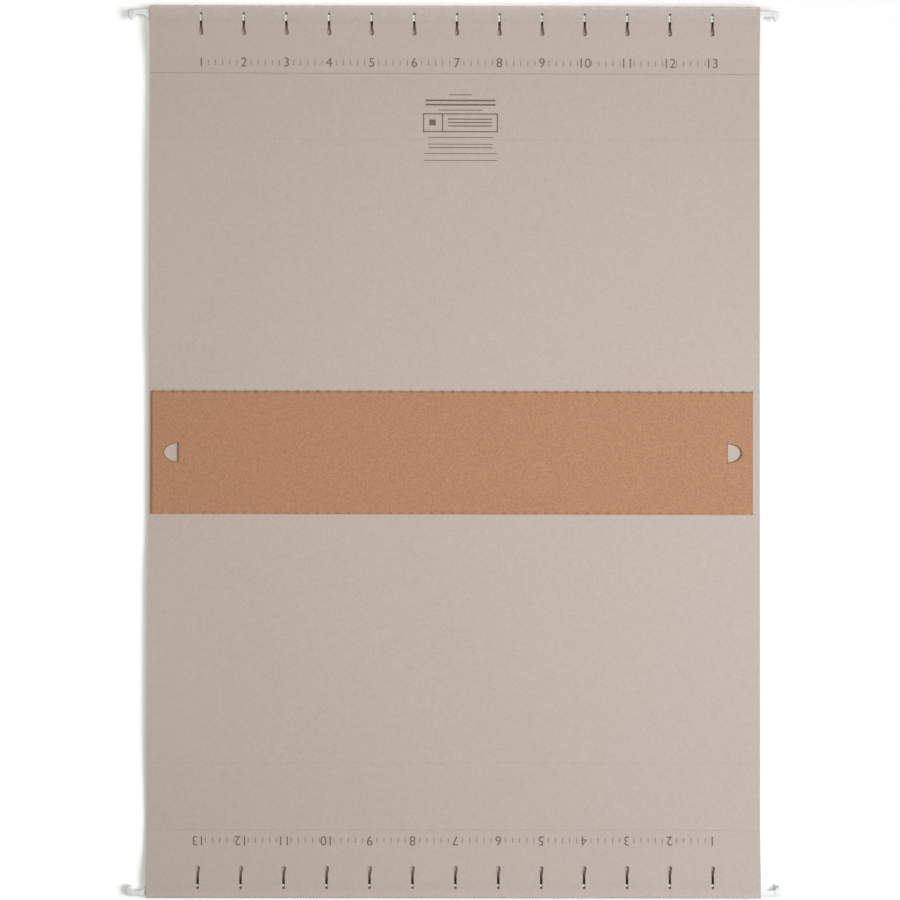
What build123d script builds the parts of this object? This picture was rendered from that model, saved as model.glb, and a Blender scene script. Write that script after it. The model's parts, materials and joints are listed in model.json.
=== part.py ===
from build123d import *
import os
from math import asin, atan2, cos, degrees, radians, sqrt, tan

# Hanging file folder with a box bottom, lying opened out flat with its inside up.
# X runs along the rods, +Y goes from the front panel to the back panel, +Z is up.
# The origin is the middle of the underside, on the surface that the folder lies on.
# All sizes are in millimetres and all angles in degrees.

# Card sheet: the panel height is the mean of both, and the bottom lies a little nearer the front fold
SHEET_WIDTH = 374.65
PANEL_HEIGHT = 234.95
BOTTOM_WIDTH = 76.2
BOTTOM_SHIFT = -1.5
CARD = 0.4

# Creases between the bottom and the panels
CLOSING_GAP = 4.0
CREASE_CLEARANCE = 0.05

# Hems, turned over at the far edge of each panel, sloping down from the rod to a glued strip
HEM_DEPTH = 41.3
HEM_BEND_RADIUS = 12.0
POCKET_SLACK = 1.9
GLUED_STRIP = 9.0
GLUE_THICKNESS = 0.1
GLUE_WIDTH = 2.4
GLUE_INSET = 1.2
GLUE_END_INSET = 6.0

# Keyhole slots for index tabs, cut through each hem
SLOT_COUNT = 13
SLOT_MARGIN = 30.4
SLOT_ROW_SHIFT = 1.1
BACK_SLOT_INSET = 4.5
FRONT_SLOT_INSET = 5.7
SLOT_LENGTH = 13.9
SLOT_WIDTH = 1.5
SLOT_BULB = 2.9
SLOT_FLARE = 3.6

# Moulded rods, with a hooked notch at each end
ROD_OVERHANG = 12.7
ROD_WIDTH = 7.2
ROD_THICKNESS = 2.4
ROD_CLEARANCE = 0.15
ROD_EDGE = 0.5
TIP_RADIUS = 2.4
NOSE_DEPTH = 4.9
NOSE_RADIUS = 0.8
BARB_INSET = 2.4
BARB_RADIUS = 0.7
SADDLE_DEPTH = 3.6
SADDLE_START = 4.6
SADDLE_END = 9.2
SADDLE_RADIUS = 1.2
MOUTH_END = 13.4
MOUTH_RADIUS = 1.5

# Channels that lighten both faces of a rod
EDGE_RIB = 1.1
MIDDLE_RIB = 1.8
CHANNEL_DEPTH = 0.45
CHANNEL_TIP_GAP = 4.0
CHANNEL_MOUTH_GAP = 2.6

# Where each rod lies in its loose hem: along X, and away from the fold
BACK_ROD_SHIFT = -0.6
BACK_ROD_SLACK = 1.1
FRONT_ROD_SHIFT = 0.6
FRONT_ROD_SLACK = 0.1

# Kraft board that lies on the bottom, with a D-shaped pull cut-out near each end
BOARD_THICKNESS = 1.0
BOARD_SHIFT = -1.1
BOARD_END_INSET = 3.2
BOARD_SIDE_CLEARANCE = 0.15
BOARD_FLOOR_CLEARANCE = 0.05
PULL_INSET = 7.3
PULL_DEPTH = 8.6
PULL_HEIGHT = 11.3
PULL_SHIFT = 0.4

# Hem section: the fold is a half round just large enough for the rod
pocket = ROD_THICKNESS + 2 * ROD_CLEARANCE
fold_radius = pocket / 2 + CARD
hem_height = 2 * fold_radius
crease_y = BOTTOM_WIDTH / 2
fold_y = crease_y + PANEL_HEIGHT
fold_centre_y = fold_y - fold_radius
nearest_rod_seat = fold_radius - ROD_EDGE
slope_start = nearest_rod_seat + POCKET_SLACK + ROD_WIDTH
flap_high = hem_height - CARD / 2
flap_low = CARD + GLUE_THICKNESS + CARD / 2

# Hem slope: a straight run between two equal bends, one at the rod and one at the glued strip
slope_run = HEM_DEPTH - GLUED_STRIP - slope_start
centres_apart = 2 * HEM_BEND_RADIUS - (flap_high - flap_low)
slope_length = sqrt(slope_run**2 + centres_apart**2 - (2 * HEM_BEND_RADIUS) ** 2)
slope_angle = degrees(atan2(slope_run, centres_apart) - atan2(slope_length, 2 * HEM_BEND_RADIUS))

# Creases: the panels lean in until the hems stand the closing gap apart
lean = degrees(asin((crease_y - hem_height - CLOSING_GAP / 2) / PANEL_HEIGHT))
fold_angle = 90 + lean
crease_gap = CARD / 2 * tan(radians(fold_angle / 2)) + CREASE_CLEARANCE

# Board: it stays clear of both panels where they lean in over its edges
board_bottom = CARD + BOARD_FLOOR_CLEARANCE
board_top = board_bottom + BOARD_THICKNESS
lean_reach = CARD / 2 / cos(radians(lean)) + (board_top - CARD / 2) * tan(radians(lean))
board_width = BOTTOM_WIDTH - 2 * (lean_reach + BOARD_SIDE_CLEARANCE)
board_length = SHEET_WIDTH - 2 * BOARD_END_INSET

# Rods
rod_length = SHEET_WIDTH + 2 * ROD_OVERHANG
rod_bottom = CARD + ROD_CLEARANCE
channel_width = (ROD_WIDTH - 2 * EDGE_RIB - MIDDLE_RIB) / 2
slot_pitch = (SHEET_WIDTH - 2 * SLOT_MARGIN) / (SLOT_COUNT - 1)


def bottom_panel():
    """The bottom of the box, with a rounded bead along each crease that the panel turns about."""
    section = Pos(BOTTOM_SHIFT, CARD / 2) * SlotOverall(BOTTOM_WIDTH + CARD, CARD)
    return extrude(Plane.YZ * section, amount=SHEET_WIDTH / 2, both=True)


def back_panel(crease):
    """A flat panel from its crease to where the hem's fold begins."""
    start = crease + crease_gap
    middle = (start + fold_centre_y) / 2
    return Pos(0, middle, CARD / 2) * Box(SHEET_WIDTH, fold_centre_y - start, CARD)


def hem_section():
    """The hem seen from its end: round the rod, over it, down the slope and flat to the free edge."""
    fold = JernArc((fold_centre_y, CARD / 2), (1, 0), fold_radius - CARD / 2, 180)
    over_rod = Line(fold @ 1, (fold_y - slope_start, flap_high))
    down = JernArc(over_rod @ 1, (-1, 0), HEM_BEND_RADIUS, slope_angle)
    slope = Line(down @ 1, down @ 1 + slope_length * (down % 1))
    level = JernArc(slope @ 1, slope % 1, HEM_BEND_RADIUS, -slope_angle)
    glued = Line(level @ 1, (fold_y - HEM_DEPTH, flap_low))
    return trace([fold, over_rod, down, slope, level, glued], CARD)


def keyhole():
    """A tab slot with its narrow end at the origin, running towards -Y and flaring to a round bulb."""
    slit_end = SLOT_WIDTH / 2
    bulb_end = SLOT_LENGTH - SLOT_BULB / 2
    flare_start = bulb_end - SLOT_FLARE
    narrow = Pos(0, -slit_end) * Circle(SLOT_WIDTH / 2)
    neck = Pos(0, -flare_start) * Circle(SLOT_WIDTH / 2)
    bulb = Pos(0, -bulb_end) * Circle(SLOT_BULB / 2)
    slit = make_hull(narrow.edges() + neck.edges())
    flare = make_hull(neck.edges() + bulb.edges())
    return slit + flare


def back_hem(slot_inset):
    """The hem with its row of keyhole slots some way in from the fold, open at both ends for the rod."""
    hem = extrude(Plane.YZ * hem_section(), amount=SHEET_WIDTH / 2, both=True)
    row = Pos(SLOT_ROW_SHIFT, fold_y - slot_inset) * GridLocations(slot_pitch, 0, SLOT_COUNT, 1)
    slots = Sketch() + [place * keyhole() for place in row]
    return hem - extrude(slots, amount=hem_height)


def back_hem_glue():
    """Two beads of glue between the hem and the panel, along the edges of the glued strip."""
    first = HEM_DEPTH - GLUED_STRIP + GLUE_INSET + GLUE_WIDTH / 2
    last = HEM_DEPTH - GLUE_INSET - GLUE_WIDTH / 2
    bead = Box(SHEET_WIDTH - 2 * GLUE_END_INSET, GLUE_WIDTH, GLUE_THICKNESS)
    height = CARD + GLUE_THICKNESS / 2
    return Compound([Pos(0, fold_y - depth, height) * bead for depth in (first, last)])


def rod_outline():
    """A rod from above, its fold side along Y = 0 and a barbed hook and saddle notch at each end."""
    tip = rod_length / 2
    right_end = [
        (tip, 0, TIP_RADIUS),
        (tip, -NOSE_DEPTH, NOSE_RADIUS),
        (tip - BARB_INSET, -ROD_WIDTH, BARB_RADIUS),
        (tip - SADDLE_START, -SADDLE_DEPTH, SADDLE_RADIUS),
        (tip - SADDLE_END, -SADDLE_DEPTH, SADDLE_RADIUS),
        (tip - MOUTH_END, -ROD_WIDTH, MOUTH_RADIUS),
    ]
    left_end = [(-x, y, radius) for x, y, radius in reversed(right_end)]
    corners = right_end + left_end
    points = [(x, y) for x, y, radius in corners]
    radii = [radius for x, y, radius in corners]
    return make_face(FilletPolyline(*points, radius=radii, close=True))


def rod_channels():
    """The two channels of one rod face: the one on the fold side runs out over the notches."""
    long_one = rod_length - 2 * CHANNEL_TIP_GAP
    short_one = rod_length - 2 * (MOUTH_END + CHANNEL_MOUTH_GAP)
    first = EDGE_RIB + channel_width / 2
    second = ROD_WIDTH - first
    fold_side = Pos(0, -first) * SlotOverall(long_one, channel_width)
    other_side = Pos(0, -second) * SlotOverall(short_one, channel_width)
    return fold_side + other_side


def rod():
    """A rod lying flat with its underside on Z = 0 and its fold side along Y = 0."""
    body = extrude(rod_outline(), amount=ROD_THICKNESS)
    faces = body.faces().sort_by(Axis.Z)
    body = chamfer(faces[0].edges() + faces[-1].edges(), ROD_EDGE)
    upper = extrude(Pos(0, 0, ROD_THICKNESS) * rod_channels(), amount=-CHANNEL_DEPTH)
    lower = extrude(rod_channels(), amount=CHANNEL_DEPTH)
    return body - upper - lower


def back_rod(shift, slack):
    """A rod in the back hem, some way along X and away from the fold."""
    return Pos(shift, fold_y - nearest_rod_seat - slack, rod_bottom) * rod()


def pull_cutout():
    """A D with its straight side on the Y axis and its curve towards +X."""
    half = Pos(PULL_DEPTH / 2, 0) * Rectangle(PULL_DEPTH, PULL_HEIGHT)
    return Ellipse(PULL_DEPTH, PULL_HEIGHT / 2) & half


def bottom_board():
    """The loose board, in three lengths that meet face to face at the straight side of each D."""
    straight_side = board_length / 2 - PULL_INSET - PULL_DEPTH
    right_pull = Pos(straight_side, 0) * pull_cutout()
    pulls = Pos(PULL_SHIFT, 0) * (right_pull + mirror(right_pull, about=Plane.YZ))
    board = extrude(Rectangle(board_length, board_width) - pulls, amount=BOARD_THICKNESS)
    for side in (straight_side, -straight_side):
        board = split(board, bisect_by=Plane.YZ.offset(PULL_SHIFT + side), keep=Keep.BOTH)
    return Pos(BOARD_SHIFT, BOTTOM_SHIFT, board_bottom) * board


def to_front(piece):
    """The same piece on the front side of the folder."""
    return mirror(piece, about=Plane.XZ)


nodes = {
    "bottom_panel": bottom_panel(),
    "back_panel": back_panel(crease_y + BOTTOM_SHIFT),
    "back_hem": back_hem(BACK_SLOT_INSET),
    "back_hem_glue": back_hem_glue(),
    "back_rod": back_rod(BACK_ROD_SHIFT, BACK_ROD_SLACK),
    "front_panel": to_front(back_panel(crease_y - BOTTOM_SHIFT)),
    "front_hem": to_front(back_hem(FRONT_SLOT_INSET)),
    "front_hem_glue": to_front(back_hem_glue()),
    "front_rod": to_front(back_rod(FRONT_ROD_SHIFT, FRONT_ROD_SLACK)),
    "bottom_board": bottom_board(),
}

os.makedirs("parts", exist_ok=True)
for name, shape in nodes.items():
    export_step(shape, f"parts/{name}.step")

print(f"creases at y = {crease_y + BOTTOM_SHIFT:.2f} and {BOTTOM_SHIFT - crease_y:.2f}, z = {CARD / 2}")
print(f"panels fold from 0 to {fold_angle:.1f} degrees, hems slope {slope_angle:.2f} degrees")
print(f"rods {rod_length:.2f} long, slots {slot_pitch:.2f} apart")
print(f"board {board_length:.2f} by {board_width:.2f}")
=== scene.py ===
# %% [markdown]
# # A hanging file folder, opened out flat
# The folder lies on a white floor with its inside up. One sheet of card makes the two panels and the
# bottom, two white moulded rods lie in the hems, and a loose kraft board stiffens the bottom. The packed
# solids give every place and every joint, so they are loaded first and nothing here moves them.

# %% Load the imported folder
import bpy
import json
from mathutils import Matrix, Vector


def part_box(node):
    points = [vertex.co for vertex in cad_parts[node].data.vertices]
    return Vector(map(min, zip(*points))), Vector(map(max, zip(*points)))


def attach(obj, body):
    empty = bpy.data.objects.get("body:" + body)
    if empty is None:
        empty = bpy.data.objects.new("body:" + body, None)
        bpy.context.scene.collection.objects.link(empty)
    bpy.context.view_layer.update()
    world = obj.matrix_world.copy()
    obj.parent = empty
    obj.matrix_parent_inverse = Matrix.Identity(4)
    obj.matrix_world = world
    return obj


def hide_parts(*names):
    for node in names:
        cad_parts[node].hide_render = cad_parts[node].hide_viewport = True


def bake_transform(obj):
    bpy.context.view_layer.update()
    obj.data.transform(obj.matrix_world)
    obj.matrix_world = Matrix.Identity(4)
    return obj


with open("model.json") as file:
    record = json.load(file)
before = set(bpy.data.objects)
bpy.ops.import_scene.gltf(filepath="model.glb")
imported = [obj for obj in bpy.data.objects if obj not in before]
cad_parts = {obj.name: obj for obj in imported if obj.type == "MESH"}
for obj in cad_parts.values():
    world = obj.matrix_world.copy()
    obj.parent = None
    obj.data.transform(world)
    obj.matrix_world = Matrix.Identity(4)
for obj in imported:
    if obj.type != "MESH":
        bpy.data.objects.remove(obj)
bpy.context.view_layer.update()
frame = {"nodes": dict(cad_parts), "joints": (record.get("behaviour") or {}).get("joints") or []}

# %% [markdown]
# ## Sizes
# Sizes that the solids already carry are read from their boxes, so the pieces made here always fit them.
# The rest, such as a slot's width, can't be read from a box, so those few are written down once, in
# metres.

# %% Read the main sizes
import bmesh
import bpy
import json
import math
from mathutils import Matrix, Vector

MM = 0.001
BACK, FRONT = 1, -1
SIDES = {"back": BACK, "front": FRONT}
panel_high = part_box("back_panel")[1]
hem_low, hem_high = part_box("back_hem")
board_low, board_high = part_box("bottom_board")
folds = {joint["name"]: joint["pos_m"] for joint in frame["joints"] if joint["type"] == "hinge"}
crease_from_middle = {BACK: folds["back_fold"][1], FRONT: -folds["front_fold"][1]}
crease_z = folds["back_fold"][2]
half_width, card = panel_high.x, panel_high.z
board_middle, board_half = (board_low + board_high) / 2, (board_high - board_low) / 2
fold_y, hem_edge_y, hem_height = hem_high.y, hem_low.y, hem_high.z
fold_radius = hem_height / 2
glue_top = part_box("back_hem_glue")[1].z
print(f"sheet {2 * half_width:.4f} wide, folds at y = {fold_y:.5f}, hem {hem_height:.4f} high")
print("creases from the middle:", crease_from_middle)

# %% [markdown]
# ## Finishes
# Card and kraft board are both felted wood fibre: soft clouds a few millimetres across where the pulp lay
# thicker, a fine grain of short fibres, and here and there a darker fleck. Both materials need the same
# effect, so it is one shader node group with its own numbers in each material. It reads Object
# coordinates, which stay with the piece when it moves. An image of paper would repeat and would not
# survive a change of size. The helpers take sockets or numbers and give back a socket, so that a tree
# reads like a formula.

# %% Small helpers for node trees
FLOAT, COLOUR, VECTOR = "NodeSocketFloat", "NodeSocketColor", "NodeSocketVector"
SHADER, MASK = "ShaderNodeTree", {"Mask": FLOAT}


def feed(tree, node, *values, **named):
    """Links or sets a node's inputs, by their order or by name with a space for each underscore."""
    pairs = list(zip(node.inputs, values))
    pairs += [(node.inputs[name.replace("_", " ")], value) for name, value in named.items()]
    for socket, value in pairs:
        if isinstance(value, bpy.types.NodeSocket):
            tree.links.new(value, socket)
        else:
            socket.default_value = value
    return node


def add_node(tree, kind, *values, **named):
    """A new node. Names in lower case are its settings, and the rest are its inputs."""
    node = tree.nodes.new(kind)
    for name in [name for name in named if name.islower()]:
        setattr(node, name, named.pop(name))
    return feed(tree, node, *values, **named)


def new_group(name, kind, inputs, outputs):
    """A node group with named sockets: the group, the sockets that it is given, and its end node."""
    group = bpy.data.node_groups.new(name, kind)
    for way, sockets in (("INPUT", inputs), ("OUTPUT", outputs)):
        for label, socket in sockets.items():
            group.interface.new_socket(label, in_out=way, socket_type=socket)
    return group, group.nodes.new("NodeGroupInput").outputs, group.nodes.new("NodeGroupOutput")


# %% Formulas in a node tree
def calc(tree, operation, *values):
    """The result of a Math node."""
    return add_node(tree, "ShaderNodeMath", *values, operation=operation).outputs[0]


def product(tree, first, *others):
    """Some values multiplied."""
    for value in others:
        first = calc(tree, "MULTIPLY", first, value)
    return first


def vector_calc(tree, operation, *values, **named):
    """The result of a Vector Math node: a value for a length or a distance, else a vector."""
    node = add_node(tree, "ShaderNodeVectorMath", *values, operation=operation, **named)
    return node.outputs["Value" if operation in ("LENGTH", "DISTANCE") else "Vector"]


def combine(tree, **parts):
    """A vector made from some of its X, Y and Z."""
    return add_node(tree, "ShaderNodeCombineXYZ", **parts).outputs[0]


def axes(tree, vector):
    """The X, Y and Z of a vector."""
    return add_node(tree, "ShaderNodeSeparateXYZ", vector).outputs


def object_place(tree):
    """The Object coordinates."""
    return add_node(tree, "ShaderNodeTexCoord").outputs["Object"]


def noise(tree, place, scale, detail, roughness=0.5):
    """A noise value at a place."""
    numbers = {"Scale": scale, "Detail": detail, "Roughness": roughness}
    return add_node(tree, "ShaderNodeTexNoise", Vector=place, **numbers).outputs["Fac"]


def ramp(tree, value, low, high, first=0.0, last=1.0, shape="LINEAR"):
    """Goes from first to last as a value goes from low to high, and stays there."""
    node = add_node(tree, "ShaderNodeMapRange", value, low, high, first, last, interpolation_type=shape)
    return node.outputs[0]


def fade(tree, distance, reach):
    """One at no distance, falling smoothly to zero within a reach."""
    return ramp(tree, distance, 0.0, reach, 1.0, 0.0, "SMOOTHSTEP")


# %% Fibre grain, shared by card and kraft board
FLECK_SCALE, FLECK_START, FLECK_FULL = 620.0, 0.66, 0.76


def swing(tree, value, depth):
    """A factor about one that follows a noise value. The depth is its whole swing."""
    return calc(tree, "MULTIPLY_ADD", calc(tree, "SUBTRACT", value, 0.5), depth, 1.0)


def make_fibre_grain():
    """Colour clouds, fine fibre grain and scattered flecks, with a height for the bump."""
    numbers = ["Cloud scale", "Cloud depth", "Fibre scale", "Fibre depth", "Fleck depth"]
    inputs = {"Colour": COLOUR} | dict.fromkeys(numbers, FLOAT)
    group, given, end = new_group("fibre grain", SHADER, inputs, {"Colour": COLOUR, "Height": FLOAT})
    place = object_place(group)
    clouds = noise(group, place, given["Cloud scale"], 3.0, 0.55)
    fibres = noise(group, place, given["Fibre scale"], 2.0, 0.6)
    flecks = ramp(group, noise(group, place, FLECK_SCALE, 1.0), FLECK_START, FLECK_FULL)
    between_flecks = calc(group, "SUBTRACT", 1.0, product(group, flecks, given["Fleck depth"]))
    cloud_factor = swing(group, clouds, given["Cloud depth"])
    fibre_factor = swing(group, fibres, given["Fibre depth"])
    factor = product(group, cloud_factor, fibre_factor, between_flecks)
    feed(group, end, Colour=vector_calc(group, "SCALE", given["Colour"], Scale=factor), Height=fibres)
    return group


fibre_grain = make_fibre_grain()
print("shared effect:", fibre_grain.name, [item.name for item in fibre_grain.interface.items_tree])

# %% [markdown]
# Along the folds the card gets a painted highlight, strongest at the back, and the board's cut edges go
# dark, partly with painted shade. The mask rises over the last stretch before the rim of a box, broken up
# by noise so that it never looks ruled. A painted mask would have to be made again after every change of
# size.

# %% Rim mask, shared by card and kraft board
PATCH_SCALE, PATCH_START, PATCH_FULL, PATCH_LEAST = 420.0, 0.3, 0.6, 0.6


def make_rubbed_rim():
    """A mask that is one along the rim of a box in X and Y and falls to zero within the reach."""
    inputs = {"Centre": VECTOR, "Half size": VECTOR, "Reach": FLOAT}
    group, given, end = new_group("rubbed rim", SHADER, inputs, MASK)
    place = object_place(group)
    outward = vector_calc(group, "ABSOLUTE", vector_calc(group, "SUBTRACT", place, given["Centre"]))
    left = axes(group, vector_calc(group, "SUBTRACT", given["Half size"], outward))
    rim = fade(group, calc(group, "MINIMUM", left["X"], left["Y"]), given["Reach"])
    patches = ramp(group, noise(group, place, PATCH_SCALE, 3.0), PATCH_START, PATCH_FULL, PATCH_LEAST)
    feed(group, end, Mask=product(group, rim, patches))
    return group


rim_mask = make_rubbed_rim()
print("shared effect:", rim_mask.name)

# %% [markdown]
# Three more masks have a form of their own. The inside of a panel gets painted shade where it lies in the
# hem, and a scored line and a line of painted shade along the back hem's edge, so the first marks a band
# across the inner faces. A board torn from its perforation keeps a dark tuft at every bridge, and fibres
# from there lie on the crease beside it, so the second marks short stretches at an even pitch. The die that
# cuts the board's two pulls crushes a thin dark rim round each, so the third is the outline of a half
# ellipse.

# %% Pocket shade, torn tufts and pull rims
LEAST_TUFT = 0.5


def make_pocket_shade():
    """A mask on the panels' marked inner faces that rises from one distance to another along Y."""
    inputs = dict.fromkeys(["From y", "To y", "Last y"], FLOAT)
    group, given, end = new_group("pocket shade", SHADER, inputs, MASK)
    outward = calc(group, "ABSOLUTE", axes(group, object_place(group))["Y"])
    rising = ramp(group, outward, given["From y"], given["To y"], shape="SMOOTHSTEP")
    before_last = calc(group, "LESS_THAN", outward, given["Last y"])
    on_panel = add_node(group, "ShaderNodeAttribute", attribute_name="inner_face").outputs["Fac"]
    feed(group, end, Mask=product(group, rising, before_last, on_panel))
    return group


def make_torn_tufts():
    """A mask of short stretches at an even pitch along X, each with its own strength."""
    inputs = dict.fromkeys(["First x", "Pitch", "Half length"], FLOAT)
    group, given, end = new_group("torn tufts", SHADER, inputs, MASK)
    place = axes(group, object_place(group))
    offset = calc(group, "SUBTRACT", place["X"], given["First x"])
    nearest = calc(group, "ROUND", calc(group, "DIVIDE", offset, given["Pitch"]))
    beside = calc(group, "SUBTRACT", offset, product(group, nearest, given["Pitch"]))
    stretch = fade(group, calc(group, "ABSOLUTE", beside), given["Half length"])
    which = combine(group, X=nearest, Y=calc(group, "SIGN", place["Y"]))
    random = add_node(group, "ShaderNodeTexWhiteNoise", noise_dimensions="2D", Vector=which)
    strength = ramp(group, random.outputs["Value"], 0.0, 1.0, LEAST_TUFT)
    feed(group, end, Mask=product(group, stretch, strength))
    return group


def make_pull_rim():
    """A mask round two half ellipses mirrored about a centre, their straight sides facing each other."""
    numbers = ["Straight x", "Mean radius", "Reach"]
    inputs = {"Centre": VECTOR, "Size": VECTOR} | dict.fromkeys(numbers, FLOAT)
    group, given, end = new_group("pull rim", SHADER, inputs, MASK)
    offset = vector_calc(group, "SUBTRACT", object_place(group), given["Centre"])
    either_end = axes(group, vector_calc(group, "ABSOLUTE", offset))
    past = calc(group, "SUBTRACT", either_end["X"], given["Straight x"])
    before = calc(group, "SUBTRACT", given["Straight x"], either_end["X"])
    shares = vector_calc(group, "DIVIDE", combine(group, X=past, Y=either_end["Y"]), given["Size"])
    excess = calc(group, "SUBTRACT", vector_calc(group, "LENGTH", shares), 1.0)
    outside = calc(group, "MAXIMUM", product(group, excess, given["Mean radius"]), before)
    feed(group, end, Mask=fade(group, outside, given["Reach"]))
    return group


pocket_shade, torn_tufts, pull_rim = make_pocket_shade(), make_torn_tufts(), make_pull_rim()
print("masks:", pocket_shade.name, torn_tufts.name, pull_rim.name)

# %% [markdown]
# ## Card and kraft
# The card is dyed a warm grey in the pulp, so its cut edges have the same colour as its faces, and it is
# matt. The kraft board is undyed, browner and coarser. Both start from the fibre grain, and layers of
# other colours are mixed over it, each with a mask and a strength. The bump is very low: fibre stands up
# a few hundredths of a millimetre.

# %% Fibre materials
FIBRE_RELIEF = 0.02 * MM


def srgb(red, green, blue):
    """A colour for a screen, from 0 to 255, as the linear numbers that shaders use."""
    def linear(level):
        share = level / 255
        return share / 12.92 if share <= 0.04045 else ((share + 0.055) / 1.055) ** 2.4
    return (linear(red), linear(green), linear(blue), 1.0)


def principled(name, roughness, specular):
    """A new material, its node tree and its Principled shader."""
    made = bpy.data.materials.new(name)
    made.use_nodes = True
    tree = made.node_tree
    shader = feed(tree, tree.nodes["Principled BSDF"], Roughness=roughness, Specular_IOR_Level=specular)
    return made, tree, shader


def bump(tree, shader, height, distance):
    """Feeds a height in metres through a Bump node into the shader's normal."""
    node = add_node(tree, "ShaderNodeBump", Strength=1.0, Distance=distance, Height=height)
    feed(tree, shader, Normal=node.outputs["Normal"])


def coat(tree, shader, colour, layers):
    """Feeds a shader a colour with layers mixed over it, each a mask, a strength and its own colour."""
    for mask, strength, over in layers:
        factor = product(tree, mask, strength)
        mix = add_node(tree, "ShaderNodeMix", data_type="RGBA", Factor=factor, A=colour, B=over)
        colour = mix.outputs["Result"]
    feed(tree, shader, Base_Color=colour)


def fibre_material(name, **numbers):
    """A felted fibre finish with a low bump: the material, its tree, its shader and its colour so far."""
    made, tree, shader = principled(name, 0.9, 0.2)
    grain = add_node(tree, "ShaderNodeGroup", node_tree=fibre_grain, **numbers).outputs
    bump(tree, shader, grain["Height"], FIBRE_RELIEF)
    return made, tree, shader, grain["Colour"]


def mask_of(tree, group, **numbers):
    """A mask group with its numbers, as a socket."""
    return add_node(tree, "ShaderNodeGroup", node_tree=group, **numbers).outputs["Mask"]


def within(tree, axis, middle, half):
    """One where a coordinate is no further than half from a middle."""
    return calc(tree, "COMPARE", axes(tree, object_place(tree))[axis], middle, half)


# %% [markdown]
# Over the rods the card is made a little paler, along both folds it gets a faint painted highlight, and on
# its back fold a painted highlight that is almost white. In a hem the panel gets painted shade, dark close
# to the rod and dimmer further out, and a thin line of painted shade with torn fibres lies on the crease
# along the board's back edge.

# %% Card: painted highlights on the folds, painted shade in the pockets, and scored lines
# The pale colour is a painted highlight on the folds and a paler tone over the rods. The dark one is painted
# shade in the hems, along the back hem's edge and by the board, and also the colour of the scores and torn
# tufts.
CARD_COLOUR, PALE_CARD, SHADE_AND_MARK_CARD = srgb(192, 179, 168), srgb(252, 249, 244), srgb(112, 70, 60)
NO_RIM = 1.0  # half a box's size along an axis that gets no rim
# Reaches of the paler band over the rods and of the painted highlights on the folds
FOLD_HIGHLIGHT, BACK_HIGHLIGHT, ROD_PALE, ROD_PALE_SHIFT = 1.6 * MM, 2.0 * MM, 11.5 * MM, 4.0 * MM
GAP_WIDTH, GAP_OVERLAP = 0.6 * MM, 0.1 * MM
SCORE_DEPTH, SCORE_WIDTH = 82.0 * MM, 0.6 * MM
# Painted shade inside the hems: where it starts and where it is full, and a fainter band further out
SHADE_START, SHADE_FULL = 14.5 * MM, 9.5 * MM
DIM_START, DIM_FULL = 22.0 * MM, 20.0 * MM
NICK_PITCH, NICK_COUNT, TUFT_LENGTH = 6.35 * MM, 57, 1.7 * MM
LINE_INSET, LINE_HALF, LINE_LEEWAY = 0.1 * MM, 0.45 * MM, 0.6 * card
first_nick_x = board_middle.x - NICK_PITCH * (NICK_COUNT - 1) / 2


def fold_rub(tree, reach, shift=0.0):
    """A mask along both folds. With a shift its box reaches past the front fold, which gets less."""
    box_half = (NO_RIM, fold_y + shift / 2, NO_RIM)
    return mask_of(tree, rim_mask, Centre=(0.0, -shift / 2, 0.0), Half_size=box_half, Reach=reach)


def panel_band(tree, start, full, last):
    """A mask on the panels' inner faces, rising between two distances from the middle up to a last one."""
    return mask_of(tree, pocket_shade, From_y=start, To_y=full, Last_y=last)


def nick_tufts(tree):
    """A mask at every nick of the perforation."""
    return mask_of(tree, torn_tufts, First_x=first_nick_x, Pitch=NICK_PITCH, Half_length=TUFT_LENGTH)


def board_line(tree):
    """A mask for the line of shade on the crease along the board's back edge."""
    on_crease = within(tree, "Y", crease_from_middle[BACK] - LINE_INSET, LINE_HALF)
    beside_board = within(tree, "X", board_middle.x, board_half.x)
    return product(tree, on_crease, beside_board, within(tree, "Z", card, LINE_LEEWAY))


def card_material():
    """The card's finish: paler over rods, painted highlights on folds, painted shade in pockets and lines.
    """
    made, tree, shader, colour = fibre_material(
        "warm grey card", Colour=CARD_COLOUR, Cloud_scale=210.0, Cloud_depth=0.1, Fibre_scale=1000.0,
        Fibre_depth=0.3, Fleck_depth=0.05,
    )
    score_y, pocket_end = fold_y - SCORE_DEPTH, fold_y - fold_radius
    # Painted shade along the back hem's free edge, under the flap's edge
    gap = panel_band(tree, hem_edge_y - GAP_WIDTH, hem_edge_y - GAP_WIDTH / 3, hem_edge_y + GAP_OVERLAP)
    line = board_line(tree)
    coat(tree, shader, colour, [
        # Paler over the rods, a faint painted highlight along both folds, an almost white one on the back
        # fold
        (fold_rub(tree, ROD_PALE, ROD_PALE_SHIFT), 0.14, PALE_CARD),
        (fold_rub(tree, FOLD_HIGHLIGHT), 0.12, PALE_CARD),
        (fold_rub(tree, BACK_HIGHLIGHT, BACK_HIGHLIGHT), 0.95, PALE_CARD),
        # A faint line at the score, painted shade along the back hem's edge and on the crease by the board,
        # dark tufts at the nicks, and painted shade inside the hems
        (panel_band(tree, score_y - SCORE_WIDTH, score_y, score_y + SCORE_WIDTH / 2), 0.07, SHADE_AND_MARK_CARD),
        (product(tree, gap, within(tree, "Y", fold_y, fold_y)), 0.3, SHADE_AND_MARK_CARD),
        (line, 0.13, SHADE_AND_MARK_CARD),
        (product(tree, line, nick_tufts(tree)), 0.6, SHADE_AND_MARK_CARD),
        (panel_band(tree, fold_y - DIM_START, fold_y - DIM_FULL, pocket_end), 0.12, SHADE_AND_MARK_CARD),
        (panel_band(tree, fold_y - SHADE_START, fold_y - SHADE_FULL, pocket_end), 0.95, SHADE_AND_MARK_CARD),
    ])
    return made


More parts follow.
